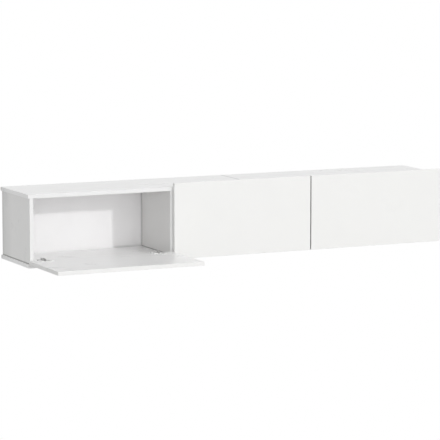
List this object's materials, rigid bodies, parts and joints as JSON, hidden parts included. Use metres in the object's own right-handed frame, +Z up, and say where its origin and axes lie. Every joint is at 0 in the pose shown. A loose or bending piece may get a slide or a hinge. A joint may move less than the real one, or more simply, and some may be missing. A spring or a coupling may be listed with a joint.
{
  "type": "floating media console",
  "caption": "Long low white wall-hung media cabinet in two joined boxes, closed by drop-down flaps on concealed hinges; the left flap stands open.",
  "frame": {"origin": "on the wall, at mid length, on the line of the wall screws", "axes": "+X along the console to its right end, +Y into the wall, +Z up; the front faces -Y"},
  "size_m": [1.8, 0.597, 0.298],
  "materials": {
    "white_board": "white foil-faced particle board, smooth satin, edges banded in the same white",
    "flap_board": "white lacquered board, smooth satin",
    "back_board": "thin hardboard, white painted front face",
    "zinc_plated_steel": "bright zinc plated sheet steel",
    "nickel_plated_steel": "nickel plated pressed steel, satin",
    "die_cast_zinc": "die-cast zinc, nickel plated",
    "plated_fasteners": "zinc plated steel screws and bolts",
    "beech": "raw fluted beech"
  },
  "bodies": {
    "carcass": {"back_panel_left": "back_board", "back_panel_middle_left": "back_board", "back_panel_middle_right": "back_board", "back_panel_right": "back_board", "bottom_board_left": "white_board", "bottom_board_right": "white_board", "cam_bolts": "plated_fasteners", "cams": "die_cast_zinc", "centre_panel_left": "white_board", "centre_panel_right": "white_board", "dowels": "beech", "hanger_plate_1": "zinc_plated_steel", "hanger_plate_2": "zinc_plated_steel", "hanger_plate_3": "zinc_plated_steel", "hanger_plate_4": "zinc_plated_steel", "hanger_screws": "plated_fasteners", "hinge_arm_pins": "nickel_plated_steel", "hinge_arm_screws": "plated_fasteners", "hinge_plate_screws": "plated_fasteners", "left_flap_hinge_arm_left": "nickel_plated_steel", "left_flap_hinge_arm_right": "nickel_plated_steel", "left_flap_mounting_plates": "die_cast_zinc", "middle_flap_hinge_arm_left": "nickel_plated_steel", "middle_flap_hinge_arm_right": "nickel_plated_steel", "middle_flap_mounting_plates": "die_cast_zinc", "partition_left": "white_board", "partition_right": "white_board", "right_flap_hinge_arm_left": "nickel_plated_steel", "right_flap_hinge_arm_right": "nickel_plated_steel", "right_flap_mounting_plates": "die_cast_zinc", "side_panel_left": "white_board", "side_panel_right": "white_board", "tie_bolts": "plated_fasteners", "top_board_left": "white_board", "top_board_right": "white_board", "wall_rail_left": "zinc_plated_steel", "wall_rail_right": "zinc_plated_steel"},
    "left_flap": {"left_flap_panel": "flap_board", "left_flap_cups": "nickel_plated_steel", "left_flap_cup_pins": "nickel_plated_steel", "left_flap_cup_screws": "plated_fasteners"},
    "left_outer_links": {"left_flap_outer_links": "nickel_plated_steel"},
    "left_inner_links": {"left_flap_inner_links": "nickel_plated_steel"},
    "middle_flap": {"middle_flap_panel": "flap_board", "middle_flap_cups": "nickel_plated_steel", "middle_flap_cup_pins": "nickel_plated_steel", "middle_flap_cup_screws": "plated_fasteners"},
    "middle_outer_links": {"middle_flap_outer_links": "nickel_plated_steel"},
    "middle_inner_links": {"middle_flap_inner_links": "nickel_plated_steel"},
    "right_flap": {"right_flap_panel": "flap_board", "right_flap_cups": "nickel_plated_steel", "right_flap_cup_pins": "nickel_plated_steel", "right_flap_cup_screws": "plated_fasteners"},
    "right_outer_links": {"right_flap_outer_links": "nickel_plated_steel"},
    "right_inner_links": {"right_flap_inner_links": "nickel_plated_steel"}
  },
  "joints": [
    {"name": "left_outer_links_turn", "type": "hinge", "parent": "carcass", "child": "left_outer_links", "pos_m": [0, -0.28031, -0.18667], "axis": [1, 0, 0], "range_deg": [0, 32.89]},
    {"name": "left_flap_swing", "type": "hinge", "parent": "left_outer_links", "child": "left_flap", "pos_m": [0, -0.3095, -0.1926], "axis": [1, 0, 0], "range_deg": [-122.89, 0]},
    {"name": "left_inner_links_turn", "type": "hinge", "parent": "carcass", "child": "left_inner_links", "pos_m": [0, -0.29734, -0.18516], "axis": [1, 0, 0], "range_deg": [0, 37.27]},
    {"name": "middle_outer_links_turn", "type": "hinge", "parent": "carcass", "child": "middle_outer_links", "pos_m": [0, -0.28031, -0.18667], "axis": [1, 0, 0], "range_deg": [-32.89, 0]},
    {"name": "middle_flap_swing", "type": "hinge", "parent": "middle_outer_links", "child": "middle_flap", "pos_m": [0, -0.3016, -0.2075], "axis": [1, 0, 0], "range_deg": [0, 122.89]},
    {"name": "middle_inner_links_turn", "type": "hinge", "parent": "carcass", "child": "middle_inner_links", "pos_m": [0, -0.29734, -0.18516], "axis": [1, 0, 0], "range_deg": [-37.27, 0]},
    {"name": "right_outer_links_turn", "type": "hinge", "parent": "carcass", "child": "right_outer_links", "pos_m": [0, -0.28031, -0.18667], "axis": [1, 0, 0], "range_deg": [-32.89, 0]},
    {"name": "right_flap_swing", "type": "hinge", "parent": "right_outer_links", "child": "right_flap", "pos_m": [0, -0.3016, -0.2075], "axis": [1, 0, 0], "range_deg": [0, 122.89]},
    {"name": "right_inner_links_turn", "type": "hinge", "parent": "carcass", "child": "right_inner_links", "pos_m": [0, -0.29734, -0.18516], "axis": [1, 0, 0], "range_deg": [-37.27, 0]}
  ],
  "couplings": [
    {"joint": "left_outer_links_turn", "follows": "left_flap_swing", "ratio": -0.26764},
    {"joint": "left_inner_links_turn", "follows": "left_flap_swing", "ratio": -0.30324},
    {"joint": "middle_outer_links_turn", "follows": "middle_flap_swing", "ratio": -0.26764},
    {"joint": "middle_inner_links_turn", "follows": "middle_flap_swing", "ratio": -0.30324},
    {"joint": "right_outer_links_turn", "follows": "right_flap_swing", "ratio": -0.26764},
    {"joint": "right_inner_links_turn", "follows": "right_flap_swing", "ratio": -0.30324}
  ]
}
